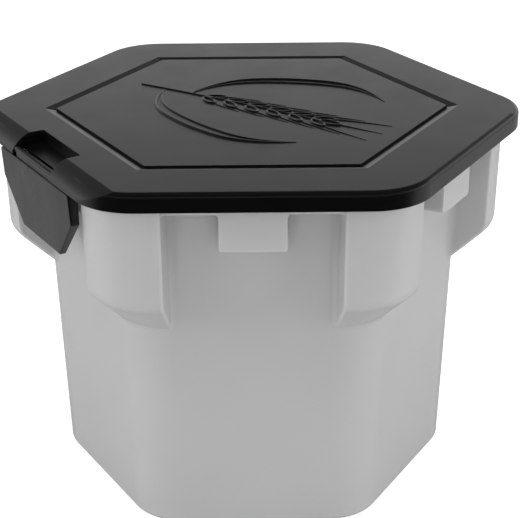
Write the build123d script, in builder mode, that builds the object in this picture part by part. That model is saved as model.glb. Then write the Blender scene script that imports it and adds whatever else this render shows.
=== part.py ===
from build123d import *

# Hexagonal fermenting bucket: a lobed bucket, a lift-off lid with its seal, and one hinged latch.
#
# Frame: +Z up, origin at the centre of the base. Two flats of the hexagon face -Y and +Y.
# Across a face, "apothem" is the distance from the axis to the flat.

from math import atan2, cos, degrees, radians, sin, sqrt, tan
import os

os.makedirs("parts", exist_ok=True)

# ---------------------------------------------------------------- overall
sides = 6
height = 234.0             # floor to the top of the lid
wall = 2.4                 # moulded wall, bucket and lid
first_face = 30.0          # direction of the first flat, degrees from +X
latch_direction = -150.0   # the flat that carries the latch

# ---------------------------------------------------------------- bucket
base_apothem = 112.7       # lower body at the floor
body_draft = 2.0           # the body widens upwards, degrees
base_corner = 34.0         # corner radius at the floor
base_thickness = 2.8
foot_height = 1.5          # the underside is recessed inside a foot ring
foot_width = 6.0
base_edge_radius = 4.0

rim_z = 224.5              # top of the bucket's flange
shelf_thickness = 2.5      # flange where it bridges the channels
lip_bottom_z = 217.5       # down-turned edge of the flange
shoulder_bottom_z = 136.0  # where the lobes grow out of the body
shoulder_top_z = 159.5
collar_apothem = 140.7     # lobes at the top of the shoulder
collar_draft = 1.4
collar_corner = 41.0
knee_radius = 11.0
root_radius = 5.0

channel_half_width = 46.9  # at the base apothem
channel_side_slope = 0.15  # widening per millimetre outwards
face_setback = 1.8         # flange edge and lugs sit back from the lobes
lug_half_width = 19.0
lug_bottom_z = 195.0
lug_corner_radius = 2.0
lobe_edge_radius = 1.6
flare_radius = 2.5         # where lugs and lobes run into the flange edge

# ---------------------------------------------------------------- lid
lid_plate = 2.6
skirt_apothem = 150.4
skirt_bottom_z = 222.7
lid_corner = 38.9
lid_edge_radius = 3.0
shoulder = [(138.5, 234.0), (144.6, 231.0), (150.4, 224.6)]  # rim over the latch: apothem, height
shoulder_half_length = 96.0
recess_faces = [-90.0, 30.0, 150.0]  # flats whose skirt is recessed as a finger grip
recess_depth = 2.4
recess_corner = 20.5
recess_bottom_z = 227.3
groove_outer_apothem = 112.6
groove_width = 6.4
groove_depth = 1.4         # at the inner side; the floor ramps up outwards
rib_thickness = 1.6
rib_gap = 0.2              # between a rib and the seal
outer_rib_bottom_z = 225.3
plug_bottom_z = 219.5      # the inner rib plugs into the mouth

# ---------------------------------------------------------------- seal
seal_width = 3.0
seal_inset = 0.3           # the seal overhangs the inside of the mouth by this much
seal_top_z = 227.6

# ---------------------------------------------------------------- latch and its window
window_half_width = 27.0
window_inner_apothem = 129.5
window_corner = 1.5
pocket_half_width = 31.0
pocket_floor_z = 226.2
pocket_floor = 1.5
pocket_wall = 2.0
pocket_outer_apothem = 143.2

pin_radius = 1.0
pin_apothem = 147.2
pin_z = 225.2
pin_half_length = 33.0
boss_height = 4.6
boss_outer_apothem = 148.0
barrel_radius = 2.2
barrel_half_width = 26.4
hinge_clearance = 0.06
neck_bottom_z = 219.2
neck_inner_apothem = 145.6
neck_outer_apothem = 148.2

latch_top_z = 220.6
latch_knee_z = 202.0       # sides are upright above this height
latch_bottom_z = 175.6
latch_top_half_width = 50.2
latch_bottom_half_width = 27.2
latch_top_apothem = 149.2  # outer face at the top
latch_lean = 3.5           # outer face leans in towards its foot, degrees
latch_back_apothem = 142.8
latch_wall = 2.0
latch_corner = 2.0
latch_edge_radius = 0.8
nib_half_width = 15.0
nib_apothem = 141.4
nib_top_z = 194.0          # just below the lug
nib_flat = 1.5
nib_ramp = 3.5


def body_apothem(z):
    """Apothem of the lower body's outer face at height z."""
    return base_apothem + z * tan(radians(body_draft))


def body_hexagon(z, inset=0.0):
    """Adds the lower body's outline at height z, moved in by inset."""
    growth = body_apothem(z) - base_apothem - inset
    hexagon(base_apothem + growth, base_corner + growth)


def hexagon(apothem, corner):
    """Adds a hexagon with rounded corners, flats facing -Y and +Y."""
    RegularPolygon(apothem, sides, major_radius=False)
    fillet(vertices(), corner)


def channels(inner, outer, widen=0.0):
    """Adds the plan of the six face channels between two apothems, each side widened."""
    def half_width(apothem):
        return channel_half_width + (apothem - base_apothem) * channel_side_slope + widen

    corners = [
        (inner, -half_width(inner)),
        (outer, -half_width(outer)),
        (outer, half_width(outer)),
        (inner, half_width(inner)),
    ]
    with PolarLocations(0, sides, start_angle=first_face):
        Polygon(*corners, align=None)


def off_face(edge):
    """Angle between an edge's middle and the nearest face direction, in degrees."""
    middle = edge.center()
    turn = degrees(atan2(middle.Y, middle.X)) - first_face
    return abs((turn + 30) % 60 - 30)


def edges_at(part, z):
    """Edges whose middle lies at height z."""
    return part.edges().filter_by_position(Axis.Z, z - 0.1, z + 0.1)


def blocks(inner, outer, half_width):
    """Adds one rectangle on each face, between two apothems."""
    with PolarLocations((inner + outer) / 2, sides, start_angle=first_face):
        Rectangle(outer - inner, 2 * half_width)


def face_plan(z):
    """Plane at height z whose X points out through the latch's face."""
    return Plane.XY.offset(z).rotated((0, 0, latch_direction))


def face_plane(apothem):
    """Upright plane parallel to the latch's face: X along the face, Y up, Z outwards."""
    return Plane(origin=outward * apothem, x_dir=along, z_dir=outward)


def face_block(inner, outer, half_width):
    """Adds a rectangle between two apothems, centred on the latch's face."""
    with Locations(((inner + outer) / 2, 0)):
        Rectangle(outer - inner, 2 * half_width)


def ring(apothem, thickness):
    """Adds a sharp-cornered hexagonal ring whose outside has this apothem."""
    RegularPolygon(apothem, sides, major_radius=False)
    RegularPolygon(apothem - thickness, sides, major_radius=False, mode=Mode.SUBTRACT)


def mouth_band(outside, inside_edge):
    """Adds a band that follows the mouth, between two distances outside its outline."""
    offset(mouth, amount=outside)
    offset(mouth, amount=inside_edge, mode=Mode.SUBTRACT)


def shoulder_cut(inset):
    """Solid above the rounded rim over the latch, with the curve moved inwards by inset."""
    start, middle, end = [(x - 0.62 * inset, y - 0.78 * inset) for x, y in shoulder]
    with BuildPart() as cut:
        with BuildSketch(latch_section):
            with BuildLine():
                ThreePointArc(start, middle, end)
                Polyline(end, (channel_reach, end[1]), (channel_reach, height + 1), (start[0], height + 1), start)
            make_face()
        extrude(amount=shoulder_half_length, both=True)
    return cut.part


def finger_recess(face):
    """Solid cut from the skirt of one flat; it runs out to nothing at the corners."""
    reach = channel_reach * tan(radians(180 / sides))
    with BuildPart() as recess:
        with BuildSketch(Plane.XY.offset(recess_bottom_z)):
            Polygon((0, 0), (channel_reach, -reach), (channel_reach, reach), align=None, rotation=face)
        extrude(amount=height)
        add(rounded_block(skirt_apothem - recess_depth, recess_corner), mode=Mode.SUBTRACT)
    return recess.part


def rounded_block(apothem, corner):
    """Solid hexagonal block as deep as the lid, with its top edge rounded."""
    with BuildPart() as block:
        with BuildSketch(Plane.XY.offset(skirt_bottom_z)):
            hexagon(apothem, corner)
        extrude(amount=height - skirt_bottom_z)
        fillet(block.edges().group_by(Axis.Z)[-1], lid_edge_radius)
    return block.part


def latch_block(inset):
    """Solid of the latch's plate, with its outline and outer face moved in by inset."""
    def outer_apothem(z):
        return latch_top_apothem - (latch_top_z - z) * tan(radians(latch_lean)) - inset

    back = latch_back_apothem - inset
    with BuildPart() as block:
        with BuildSketch(face_plane(back)):
            outline = [(latch_top_half_width, latch_top_z), (latch_top_half_width, latch_knee_z),
                       (latch_bottom_half_width, latch_bottom_z)]
            mirrored = [(-x, y) for x, y in reversed(outline)]
            Polygon(*outline, *mirrored, align=None)
            fillet(vertices(), latch_corner)
            offset(amount=-inset)
        extrude(amount=latch_top_apothem - back)
        with BuildSketch(latch_section):
            Polygon((back, latch_bottom_z), (outer_apothem(latch_bottom_z), latch_bottom_z),
                    (outer_apothem(latch_top_z), latch_top_z), (back, latch_top_z), align=None)
        extrude(amount=latch_top_half_width, both=True, mode=Mode.INTERSECT)
    return block.part


direction = radians(latch_direction)
outward = Vector(cos(direction), sin(direction), 0)
along = Vector(-sin(direction), cos(direction), 0)
latch_section = Plane(origin=(0, 0, 0), x_dir=outward, z_dir=-along)  # X outwards, Y up

channel_reach = collar_apothem + 25.0
channel_start = base_apothem - 12.0
lip_apothem = collar_apothem + (lip_bottom_z - shoulder_top_z) * tan(radians(collar_draft)) - face_setback
inner_rise = wall * (sqrt(2) - 1)  # lifts the inner shoulder so its wall stays even

# ---------------------------------------------------------------- space inside the bucket
with BuildPart() as inside:
    with BuildSketch(Plane.XY.offset(shoulder_bottom_z + inner_rise)):
        body_hexagon(shoulder_bottom_z, inset=wall)
    with BuildSketch(Plane.XY.offset(shoulder_top_z + inner_rise)):
        hexagon(collar_apothem - wall, collar_corner - wall)
    loft(ruled=True)
    with BuildSketch(Plane.XY.offset(shoulder_top_z + inner_rise)):
        hexagon(collar_apothem - wall, collar_corner - wall)
    extrude(amount=rim_z - shoulder_top_z, taper=-collar_draft)
    with BuildSketch(Plane.XY.offset(shoulder_bottom_z - wall)):
        channels(channel_start, channel_reach, widen=wall)
    extrude(amount=height, mode=Mode.SUBTRACT)
    floor_z = foot_height + base_thickness
    with BuildSketch(Plane.XY.offset(floor_z)):
        body_hexagon(floor_z, inset=wall)
    extrude(amount=rim_z - floor_z + wall, taper=-body_draft)

# Outline of the bucket's mouth, which the seal and the lid's ribs follow.
mouth = inside.part.intersect(Plane.XY.offset(rim_z - 0.5)).faces()[0]

# ---------------------------------------------------------------- bucket
with BuildPart() as bucket:
    with BuildSketch(Plane.XY.offset(shoulder_bottom_z)):
        body_hexagon(shoulder_bottom_z)
    with BuildSketch(Plane.XY.offset(shoulder_top_z)):
        hexagon(collar_apothem, collar_corner)
    loft(ruled=True)
    with BuildSketch(Plane.XY.offset(shoulder_top_z)):
        hexagon(collar_apothem, collar_corner)
    extrude(amount=rim_z - shoulder_top_z, taper=-collar_draft)
    fillet(edges_at(bucket, shoulder_top_z), knee_radius)

    # Six channels, roofed by the flange, whose outer edge turns down as a lip.
    with BuildSketch(Plane.XY.offset(shoulder_bottom_z - wall)):
        channels(channel_start, channel_reach)
    extrude(amount=lip_bottom_z - shoulder_bottom_z + wall, mode=Mode.SUBTRACT)
    with BuildSketch(Plane.XY.offset(lip_bottom_z)):
        channels(lip_apothem, channel_reach)
    extrude(amount=height, mode=Mode.SUBTRACT)
    with BuildSketch(Plane.XY.offset(lip_bottom_z)):
        channels(channel_start, lip_apothem - wall)
    extrude(amount=rim_z - shelf_thickness - lip_bottom_z, mode=Mode.SUBTRACT)

    # Soften the edges between the channels' sides and the lobes.
    upright = bucket.edges().filter_by(lambda e: e.length > 30 and e.center().Z > shoulder_top_z)
    lobe_edges = upright.filter_by(lambda e: e.center().X ** 2 + e.center().Y ** 2 > collar_apothem ** 2)
    lobe_edges = lobe_edges.filter_by(lambda e: off_face(e) < 21)
    fillet(lobe_edges, lobe_edge_radius)

    # Catch lugs hang from the flange, one on each face.
    with BuildSketch(Plane.XY.offset(lug_bottom_z)):
        blocks(base_apothem, lip_apothem, lug_half_width)
    extrude(amount=rim_z - lug_bottom_z)

    with BuildSketch(Plane.XY):
        body_hexagon(0)
    extrude(amount=rim_z, taper=-body_draft)
    fillet(bucket.edges().group_by(Axis.Z)[0], base_edge_radius)
    fillet(edges_at(bucket, shoulder_bottom_z), root_radius)
    fillet(edges_at(bucket, lip_bottom_z).filter_by(lambda e: e.length < 1.5 * wall), flare_radius)
    fillet(edges_at(bucket, lug_bottom_z).filter_by(lambda e: off_face(e) > 5), lug_corner_radius)

    add(inside.part, mode=Mode.SUBTRACT)

    # The lugs are cored from above, and the underside is recessed inside a foot ring.
    with BuildSketch(Plane.XY.offset(lug_bottom_z + wall)):
        blocks(body_apothem(rim_z) + wall, lip_apothem - wall, lug_half_width - wall)
    extrude(amount=height, mode=Mode.SUBTRACT)
    with BuildSketch(Plane.XY):
        body_hexagon(0, inset=base_edge_radius + foot_width)
    extrude(amount=foot_height, mode=Mode.SUBTRACT)

bucket.part.label = "bucket"
export_step(bucket.part, "parts/bucket.step")

# ---------------------------------------------------------------- lid seal
with BuildPart() as lid_seal:
    with BuildSketch(Plane.XY.offset(rim_z)):
        mouth_band(seal_width - seal_inset, -seal_inset)
    extrude(amount=seal_top_z - rim_z)

lid_seal.part.label = "lid_seal"
export_step(lid_seal.part, "parts/lid_seal.step")

# ---------------------------------------------------------------- lid
plate_underside = height - lid_plate
outer_rib = seal_width - seal_inset + rib_gap
inner_rib = -seal_inset - rib_gap

groove_inner_apothem = groove_outer_apothem - groove_width
with BuildPart() as groove:
    with BuildSketch(Plane.XY.offset(height)):
        RegularPolygon(groove_outer_apothem, sides, major_radius=False)
    with BuildSketch(Plane.XY.offset(height - groove_depth)):
        RegularPolygon(groove_inner_apothem, sides, major_radius=False)
    loft(ruled=True)
    with BuildSketch(Plane.XY.offset(height)):
        RegularPolygon(groove_inner_apothem, sides, major_radius=False)
    extrude(amount=-groove_depth, mode=Mode.SUBTRACT)

with BuildPart() as lid_inside:
    with BuildSketch(Plane.XY.offset(skirt_bottom_z)):
        hexagon(skirt_apothem - recess_depth - wall, lid_corner - recess_depth - wall)
    extrude(amount=plate_underside - skirt_bottom_z)
    add(shoulder_cut(wall), mode=Mode.SUBTRACT)

with BuildPart() as lid:
    add(rounded_block(skirt_apothem, lid_corner))
    for face in recess_faces:
        add(finger_recess(face), mode=Mode.SUBTRACT)
    add(shoulder_cut(0), mode=Mode.SUBTRACT)
    add(lid_inside.part, mode=Mode.SUBTRACT)

    # Sharp-cornered groove in the top, deep at its inner side, backed by a rib underneath.
    with BuildSketch(Plane.XY.offset(plate_underside)):
        ring(groove_outer_apothem + wall, groove_width + 2 * wall)
    extrude(amount=-groove_depth)
    add(groove.part, mode=Mode.SUBTRACT)

    # A land and two ribs hold the seal.
    with BuildSketch(Plane.XY.offset(seal_top_z)):
        mouth_band(outer_rib + rib_thickness, inner_rib - rib_thickness)
    extrude(amount=plate_underside - seal_top_z)
    with BuildSketch(Plane.XY.offset(outer_rib_bottom_z)):
        mouth_band(outer_rib + rib_thickness, outer_rib)
    extrude(amount=seal_top_z - outer_rib_bottom_z)
    with BuildSketch(Plane.XY.offset(plug_bottom_z)):
        mouth_band(inner_rib, inner_rib - rib_thickness)
    extrude(amount=seal_top_z - plug_bottom_z)

    # A pocket under the latch window, and bosses for the ends of the hinge pin.
    with BuildSketch(face_plan(pocket_floor_z - pocket_floor)):
        face_block(window_inner_apothem - pocket_wall, pocket_outer_apothem, pocket_half_width + pocket_wall)
    extrude(amount=plate_underside - pocket_floor_z + pocket_floor)
    with BuildSketch(face_plan(pocket_floor_z)):
        face_block(window_inner_apothem, pocket_outer_apothem, pocket_half_width)
    extrude(amount=plate_underside - pocket_floor_z, mode=Mode.SUBTRACT)
    with BuildSketch(face_plan(skirt_bottom_z)):
        face_block(pocket_outer_apothem, boss_outer_apothem, pin_half_length)
    extrude(amount=boss_height)

    # The window opens the pocket through the top plate and out through the rim.
    with BuildSketch(face_plan(pocket_floor_z)):
        face_block(window_inner_apothem, channel_reach, window_half_width)
        fillet(vertices(), window_corner)
    extrude(amount=height - pocket_floor_z, mode=Mode.SUBTRACT)
    with BuildSketch(face_plan(skirt_bottom_z)):
        face_block(pocket_outer_apothem, channel_reach, window_half_width)
    extrude(amount=pocket_floor_z - skirt_bottom_z, mode=Mode.SUBTRACT)
    with BuildSketch(latch_section):
        with Locations((pin_apothem, pin_z)):
            Circle(pin_radius)
    extrude(amount=pin_half_length, both=True, mode=Mode.SUBTRACT)

lid.part.label = "lid"
export_step(lid.part, "parts/lid.step")

# ---------------------------------------------------------------- latch pin
with BuildPart() as latch_pin:
    with BuildSketch(latch_section):
        with Locations((pin_apothem, pin_z)):
            Circle(pin_radius)
    extrude(amount=pin_half_length, both=True)

latch_pin.part.label = "latch_pin"
export_step(latch_pin.part, "parts/latch_pin.step")

# ---------------------------------------------------------------- latch
plate_inner_apothem = latch_top_apothem - (latch_top_z - nib_top_z) * tan(radians(latch_lean)) - latch_wall

with BuildPart() as latch:
    add(latch_block(0))
    outer_edges = latch.faces().sort_by(SortBy.AREA)[-2:].sort_by(Axis(outward * 0, outward))[-1].edges()
    fillet(outer_edges, latch_edge_radius)
    add(latch_block(latch_wall), mode=Mode.SUBTRACT)

    # A knuckle on a short neck turns on the pin.
    with BuildSketch(latch_section):
        with Locations((pin_apothem, pin_z)):
            Circle(barrel_radius)
        neck = [(neck_inner_apothem, neck_bottom_z), (neck_outer_apothem, neck_bottom_z),
                (neck_outer_apothem, pin_z), (neck_inner_apothem, pin_z)]
        Polygon(*neck, align=None)
        with Locations((pin_apothem, pin_z)):
            Circle(pin_radius + hinge_clearance, mode=Mode.SUBTRACT)
    extrude(amount=barrel_half_width, both=True)

    # The nib on the inside of the plate stands just below the lug.
    with BuildSketch(latch_section):
        nib = [(plate_inner_apothem, nib_top_z), (nib_apothem, nib_top_z),
               (nib_apothem, nib_top_z - nib_flat), (plate_inner_apothem, nib_top_z - nib_flat - nib_ramp)]
        Polygon(*nib, align=None)
    extrude(amount=nib_half_width, both=True)

latch.part.label = "latch"
export_step(latch.part, "parts/latch.step")
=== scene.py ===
import math

import bmesh
import bpy
from mathutils import Matrix, Vector


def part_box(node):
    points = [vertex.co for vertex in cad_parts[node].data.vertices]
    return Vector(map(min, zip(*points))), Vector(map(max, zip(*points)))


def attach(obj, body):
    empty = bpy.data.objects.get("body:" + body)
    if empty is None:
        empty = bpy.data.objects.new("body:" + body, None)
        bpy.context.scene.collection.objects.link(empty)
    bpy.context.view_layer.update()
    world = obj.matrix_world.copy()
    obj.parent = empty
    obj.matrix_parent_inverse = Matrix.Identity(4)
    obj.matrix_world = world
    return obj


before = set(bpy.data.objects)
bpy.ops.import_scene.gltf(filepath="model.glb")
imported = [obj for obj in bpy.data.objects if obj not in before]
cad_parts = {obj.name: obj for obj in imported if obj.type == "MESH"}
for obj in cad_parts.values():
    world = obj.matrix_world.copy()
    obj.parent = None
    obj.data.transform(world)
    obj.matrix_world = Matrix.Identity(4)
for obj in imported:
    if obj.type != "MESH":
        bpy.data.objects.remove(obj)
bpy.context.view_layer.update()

# A hexagonal fermenting bucket of pale grey polypropylene, with a black lift-off lid and one latch.
# Everything is in metres. Two flats of the hexagon face -Y and +Y, and the latch hangs on the flat
# that faces -150 degrees from +X.

MM = 0.001
lid_low, lid_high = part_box("lid")
lid_top = lid_high.z


# ---------------------------------------------------------------- colour and node helpers
def paint(code):
    """Linear colour, with full alpha, of an sRGB hex value."""
    channels = [int(code[i:i + 2], 16) / 255 for i in (1, 3, 5)]
    return [c / 12.92 if c <= 0.04045 else ((c + 0.055) / 1.055) ** 2.4 for c in channels] + [1.0]


def add_node(tree, kind, inputs=None, **settings):
    """Adds a node. Settings are its own properties; inputs are values or other nodes' sockets."""
    node = tree.nodes.new("ShaderNode" + kind)
    for name, value in settings.items():
        setattr(node, name, value)
    for name, value in (inputs or {}).items():
        if isinstance(value, bpy.types.NodeSocket):
            tree.links.new(value, node.inputs[name])
        else:
            node.inputs[name].default_value = value
    return node


def start_material(name):
    """An empty node material, with the place on the surface in metres."""
    material = bpy.data.materials.new(name)
    material.use_nodes = True
    material.node_tree.nodes.clear()
    place = add_node(material.node_tree, "TexCoord").outputs["Object"]
    return material, material.node_tree, place


def finish_material(material, tree, inputs):
    """Adds the surface, with these inputs, and the output."""
    shader = add_node(tree, "BsdfPrincipled", inputs)
    add_node(tree, "OutputMaterial", {"Surface": shader.outputs["BSDF"]})
    return material


def grain(tree, place, size, detail=2.0):
    """A noise whose lumps are about size metres apart."""
    lumps = {"Vector": place, "Scale": 1 / size, "Detail": detail}
    return add_node(tree, "TexNoise", lumps).outputs["Fac"]


def spread(tree, value, low, high):
    """Maps the middle of a noise onto a range."""
    span = {"Value": value, "From Min": 0.3, "From Max": 0.7, "To Min": low, "To Max": high}
    return add_node(tree, "MapRange", span).outputs["Result"]


# ---------------------------------------------------------------- materials
POLYPROPYLENE_IOR = 1.49
SILICONE_IOR = 1.41
BLACK = "#070707"


def natural_polypropylene():
    """Pale grey polypropylene from a polished mould: satin gloss, milky, soft at its edges."""
    material, tree, place = start_material("moulded_grey_polypropylene")
    cloud = grain(tree, place, 60 * MM)
    shade = add_node(tree, "Mix", {
        "Factor": cloud, "A": paint("#BDBDBD"), "B": paint("#C1C1C1")}, data_type="RGBA")
    round_edge = add_node(tree, "Bevel", {"Radius": 0.6 * MM}, samples=4)
    ripple = add_node(tree, "Bump", {
        "Height": grain(tree, place, 9 * MM), "Strength": 0.05, "Distance": 0.3 * MM,
        "Normal": round_edge.outputs["Normal"]})
    return finish_material(material, tree, {
        "Base Color": shade.outputs["Result"], "Roughness": spread(tree, cloud, 0.2, 0.24),
        "IOR": POLYPROPYLENE_IOR, "Subsurface Weight": 1.0, "Subsurface Radius": (1.0, 1.0, 1.0),
        "Subsurface Scale": 4 * MM, "Normal": ripple.outputs["Normal"]})


def black_polypropylene():
    """Black polypropylene from a spark-eroded mould: a fine grain that spreads the highlight."""
    material, tree, place = start_material("moulded_black_polypropylene")
    pebble = grain(tree, place, 0.8 * MM)  # drawn coarser than the real 0.2 mm grain, so that it shows
    cloud = spread(tree, grain(tree, place, 25 * MM), 0.29, 0.33)
    # Recesses, such as the groove and the latch window, stay rough, where the mould wasn't polished.
    open_sky = add_node(tree, "AmbientOcclusion", {"Distance": 12 * MM}, samples=4)
    unpolished = add_node(tree, "MapRange", {
        "Value": open_sky.outputs["AO"], "From Min": 0.35, "From Max": 0.75,
        "To Min": 0.6, "To Max": 0.0})
    roughness = add_node(tree, "Math", {0: cloud, 1: unpolished.outputs["Result"]}, operation="ADD")
    round_edge = add_node(tree, "Bevel", {"Radius": 0.5 * MM}, samples=4)
    skin = add_node(tree, "Bump", {
        "Height": pebble, "Strength": 0.07, "Distance": 0.1 * MM,
        "Normal": round_edge.outputs["Normal"]})
    return finish_material(material, tree, {
        "Base Color": paint(BLACK), "Roughness": roughness.outputs["Value"],
        "IOR": POLYPROPYLENE_IOR, "Normal": skin.outputs["Normal"]})


def satin_black_polypropylene():
    """The latch's black polypropylene: smoother than the lid, slightly uneven where the melt flowed."""
    material, tree, place = start_material("satin_black_polypropylene")
    stretched = add_node(tree, "Mapping", {"Vector": place, "Scale": (1.0, 1.0, 0.5)})
    flow = grain(tree, stretched.outputs["Vector"], 16 * MM, detail=1.0)
    round_edge = add_node(tree, "Bevel", {"Radius": 0.4 * MM}, samples=4)
    skin = add_node(tree, "Bump", {
        "Height": flow, "Strength": 0.1, "Distance": 0.5 * MM,
        "Normal": round_edge.outputs["Normal"]})
    return finish_material(material, tree, {
        "Base Color": paint(BLACK), "Roughness": spread(tree, flow, 0.24, 0.32),
        "IOR": POLYPROPYLENE_IOR, "Specular IOR Level": 0.47, "Normal": skin.outputs["Normal"]})


def white_silicone():
    """Pressed silicone rubber: matt, soft and a little translucent."""
    material, tree, place = start_material("white_silicone")
    dust = grain(tree, place, 1.5 * MM)
    return finish_material(material, tree, {
        "Base Color": paint("#D8D8D2"), "Roughness": spread(tree, dust, 0.5, 0.62),
        "IOR": SILICONE_IOR, "Subsurface Weight": 0.2, "Subsurface Radius": (1.0, 0.8, 0.6),
        "Subsurface Scale": 2 * MM})


def stainless_wire():
    """Drawn stainless steel wire: bright, with fine lines along its length."""
    material, tree, place = start_material("drawn_stainless_wire")
    lines = grain(tree, place, 0.4 * MM)
    return finish_material(material, tree, {
        "Base Color": paint("#B9B7B2"), "Metallic": 1.0, "Roughness": spread(tree, lines, 0.2, 0.3)})


def dress(node, material):
    """Gives a CAD node its material."""
    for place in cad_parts[node].material_slots:
        place.material = material


lid_black = black_polypropylene()
dress("bucket", natural_polypropylene())
dress("lid", lid_black)
dress("latch", satin_black_polypropylene())
dress("lid_seal", white_silicone())
dress("latch_pin", stainless_wire())


# ---------------------------------------------------------------- raised emblem on the lid
# A plain ear of barley with two blades, drawn in raised lines as the mould would cut them.
LINE = 1.0 * MM                # half the width of a raised line
SUNK = 0.1 * MM                # the lines' middle lies this far below the lid's top
GRAIN_PAIRS = 6
GRAIN_LEAN = math.radians(26)  # between a grain and the ear
GRAIN_LENGTH = 15 * MM
GRAIN_WIDTH = 5.6 * MM
AWN_SPREAD = 0.22              # how far a bristle leans out, as a slope
AWN_LENGTH = 22 * MM           # of the first pair; each later pair is longer
AWN_GROWTH = 2.5 * MM
ear_start = Vector((-72, 50)) * MM
ear_end = Vector((40, -28)) * MM
ear_axis = (ear_end - ear_start).normalized()
ear_side = Vector((-ear_axis.y, ear_axis.x))


def raised_line(curve, points, widths, closed=False):
    """Adds a smooth line through a few points, with the width at each as a share of LINE."""
    line = curve.splines.new("NURBS")
    line.points.add(len(points) - 1)
    for point, (x, y), width in zip(line.points, points, widths):
        point.co = (x, y, lid_top - SUNK, 1)
        point.radius = width
    line.order_u = 3
    line.use_cyclic_u = closed
    line.use_endpoint_u = not closed


def barley_grain(curve, middle, heading, length, width):
    """A pointed oval outline whose long axis lies along heading."""
    ahead = heading * length / 2
    aside = Vector((-heading.y, heading.x)) * width / 2
    outline = [middle - ahead, middle - ahead * 0.3 + aside, middle + ahead * 0.5 + aside,
               middle + ahead * 1.1, middle + ahead * 0.5 - aside, middle - ahead * 0.3 - aside]
    raised_line(curve, outline, [1.0] * len(outline), closed=True)


def blade(curve, root, tip, bow, breadth):
    """A long leaf: two edges that bow to one side and meet at both ends."""
    chord = tip - root
    aside = Vector((-chord.y, chord.x)).normalized()
    for edge, width in ((bow, 1.15), (bow - breadth, 0.9)):
        middle = root + chord * 0.5 + aside * edge
        quarter = root + chord * 0.12 + aside * edge * 0.75
        three_quarters = root + chord * 0.88 + aside * edge * 0.75
        places = [root, quarter, middle, three_quarters, tip]
        raised_line(curve, places, [0.4, width, width, width, 0.4])


def grain_pair(curve, seat, awn_length):
    """Two grains that lean out from one place on the stem, each with its bristle."""
    for side in (-1, 1):
        heading = ear_axis * math.cos(GRAIN_LEAN) + ear_side * side * math.sin(GRAIN_LEAN)
        middle = seat + heading * 9 * MM
        barley_grain(curve, middle, heading, GRAIN_LENGTH, GRAIN_WIDTH)
        awn_heading = (ear_axis + ear_side * side * AWN_SPREAD).normalized()
        awn_start = middle + heading * 8.5 * MM
        awn_end = awn_start + awn_heading * awn_length
        awn_bend = awn_start.lerp(awn_end, 0.5) + ear_side * side * 1.2 * MM
        raised_line(curve, [awn_start, awn_bend, awn_end], [0.7, 0.6, 0.3])


def barley_emblem():
    """The ear and its two blades, as one piece that sits in the lid's top."""
    curve = bpy.data.curves.new("barley_lines", "CURVE")
    curve.dimensions = "3D"
    curve.bevel_depth = LINE
    curve.bevel_resolution = 3
    curve.resolution_u = 10
    curve.use_fill_caps = True

    stem_bend = ear_start.lerp(ear_end, 0.45) + ear_side * 3 * MM
    raised_line(curve, [ear_start, stem_bend, ear_end], [0.8, 1.0, 0.8])
    for i in range(GRAIN_PAIRS):
        seat = ear_start.lerp(ear_end, 0.36 + 0.6 * i / (GRAIN_PAIRS - 1))
        grain_pair(curve, seat, AWN_LENGTH + AWN_GROWTH * i)
    barley_grain(curve, ear_end + ear_axis * 9 * MM, ear_axis, 16 * MM, 6 * MM)
    raised_line(curve, [ear_end + ear_axis * 18 * MM, ear_end + ear_axis * 46 * MM], [0.7, 0.3])
    blade(curve, Vector((-56, 38)) * MM, Vector((26, -68)) * MM, -34 * MM, -8 * MM)
    blade(curve, Vector((-40, 28)) * MM, Vector((84, 8)) * MM, 42 * MM, 8 * MM)

    lines = bpy.data.objects.new("barley_lines", curve)
    bpy.context.collection.objects.link(lines)
    mesh = bpy.data.meshes.new_from_object(lines)
    bpy.data.objects.remove(lines)
    emblem = bpy.data.objects.new("lid_emblem", mesh)
    bpy.context.collection.objects.link(emblem)
    mesh.materials.append(lid_black)
    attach(emblem, "lid")


barley_emblem()


# ---------------------------------------------------------------- floor, light and camera
FLOOR_SIZE = 12
LAMP_SIZE = 2.0
BUCKET_MIDDLE = (0, 0, 0.12)


def card(name, width, depth, middle, material):
    """A flat rectangle that lies level, facing up."""
    sheet = bmesh.new()
    bmesh.ops.create_grid(sheet, x_segments=1, y_segments=1, size=0.5)
    bmesh.ops.scale(sheet, vec=(width, depth, 1), verts=sheet.verts)
    bmesh.ops.translate(sheet, vec=middle, verts=sheet.verts)
    mesh = bpy.data.meshes.new(name)
    sheet.to_mesh(mesh)
    sheet.free()
    mesh.materials.append(material)
    made = bpy.data.objects.new(name, mesh)
    bpy.context.collection.objects.link(made)
    return made


def lit_acrylic():
    """Matt white acrylic sheet over a light table, which fills the shadows a little."""
    material, tree, _ = start_material("lit_white_acrylic")
    return finish_material(material, tree, {
        "Base Color": paint("#FFFFFF"), "Roughness": 0.9,
        "Emission Color": paint("#FFFFFF"), "Emission Strength": 0.75})


def black_flock():
    """Black flock, which returns no light."""
    material, tree, _ = start_material("black_flock")
    return finish_material(material, tree, {
        "Base Color": paint("#000000"), "Roughness": 1.0, "Specular IOR Level": 0.0})


def grey_board():
    """Matt grey studio board."""
    material, tree, _ = start_material("matt_grey_board")
    return finish_material(material, tree, {
        "Base Color": paint("#C4C4C4"), "Roughness": 1.0, "Specular IOR Level": 0.0})


floor = card("floor", FLOOR_SIZE, FLOOR_SIZE, (0, 0, 0), lit_acrylic())
floor.visible_glossy = False
floor.visible_diffuse = False

# The bucket itself sees a grey board instead of the white sheet, and its gloss sees black in front.
grey_floor = card("grey_floor", FLOOR_SIZE, FLOOR_SIZE, (0, 0, 0.3 * MM), grey_board())
front_flag = card("front_flag", 8, 5, (0, -2.75, 0.5 * MM), black_flock())
for sheet in (grey_floor, front_flag):
    sheet.visible_camera = False
    sheet.visible_shadow = False
front_flag.visible_diffuse = False


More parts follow.
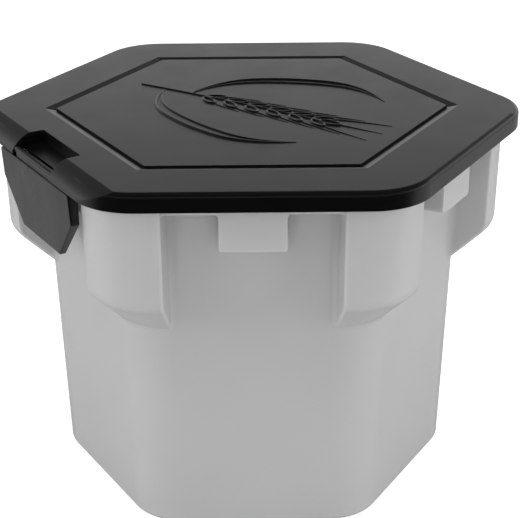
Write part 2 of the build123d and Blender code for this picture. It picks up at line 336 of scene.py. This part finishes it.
def studio_world():
    """An even white room. Gloss sees it dimmer upwards and in front, as in a studio behind a lamp."""
    world = bpy.data.worlds.new("studio")
    world.use_nodes = True
    tree = world.node_tree
    tree.nodes.clear()
    around = add_node(tree, "TexCoord").outputs["Generated"]
    heading = add_node(tree, "SeparateXYZ", {"Vector": around})
    height = add_node(tree, "ValToRGB", {"Fac": heading.outputs["Z"]})
    steps = ((0.0, 0.73), (0.25, 0.95), (0.29, 0.36), (0.34, 0.2), (0.5, 0.1), (0.75, 0.06),
             (1.0, 0.06))
    ramp = height.color_ramp
    while len(ramp.elements) < len(steps):
        ramp.elements.new(1.0)
    for stop, (place, level) in zip(ramp.elements, steps):
        stop.position = place
        stop.color = (level, level, level, 1)
    front = add_node(tree, "MapRange", {
        "Value": heading.outputs["Y"], "From Min": -0.55, "From Max": -0.1,
        "To Min": 0.3, "To Max": 1.0})
    gloss = add_node(tree, "Mix", {
        "Factor": 1.0, "A": height.outputs["Color"], "B": front.outputs["Result"]},
        data_type="RGBA", blend_type="MULTIPLY")
    for_gloss = add_node(tree, "Background", {"Color": gloss.outputs["Result"], "Strength": 1.3})
    for_light = add_node(tree, "Background", {"Color": paint("#FFFFFF"), "Strength": 0.36})
    for_camera = add_node(tree, "Background", {"Color": paint("#FFFFFF"), "Strength": 1.0})
    ray = add_node(tree, "LightPath")
    surface = for_light.outputs["Background"]
    for seen, background in (("Is Glossy Ray", for_gloss), ("Is Camera Ray", for_camera)):
        both = add_node(tree, "MixShader", {"Fac": ray.outputs[seen]})
        tree.links.new(surface, both.inputs[1])
        tree.links.new(background.outputs["Background"], both.inputs[2])
        surface = both.outputs["Shader"]
    add_node(tree, "OutputWorld", {"Surface": surface})
    bpy.context.scene.world = world


def softbox(name, place, aim, power):
    """A square lamp that lights the scene and doesn't show in gloss."""
    light = bpy.data.lights.new(name, "AREA")
    light.shape = "SQUARE"
    light.size = LAMP_SIZE
    light.energy = power
    lamp = bpy.data.objects.new(name, light)
    lamp.location = place
    lamp.rotation_euler = (Vector(aim) - Vector(place)).to_track_quat("-Z", "Y").to_euler()
    bpy.context.collection.objects.link(lamp)
    lamp.visible_glossy = False


studio_world()
softbox("top_light", (0, 0, 2.0), (0, 0, 0), 20)
softbox("front_fill", (0, -2.2, 0.35), BUCKET_MIDDLE, 22)
softbox("right_light", (2.1, -0.6, 0.6), BUCKET_MIDDLE, 28)
softbox("left_light", (-2.1, -0.6, 0.6), BUCKET_MIDDLE, 28)

EYE_PLACE = (-0.0008, -0.9189, 0.5322)
EYE_TURN = -0.0069             # about Z, radians
EYE_ROLL = -0.0062             # radians
EYE_DIP = math.radians(23.67)  # below level

eye = bpy.data.cameras.new("eye")
eye.sensor_width = 36
eye.lens = 105.25
camera = bpy.data.objects.new("camera", eye)
bpy.context.collection.objects.link(camera)
turn = Matrix.Rotation(EYE_TURN, 4, "Z") @ Matrix.Rotation(math.pi / 2 - EYE_DIP, 4, "X")
roll = Matrix.Rotation(EYE_ROLL, 4, "Z")
camera.matrix_world = Matrix.Translation(EYE_PLACE) @ turn @ roll
bpy.context.scene.camera = camera
bpy.context.scene.view_settings.view_transform = "Standard"
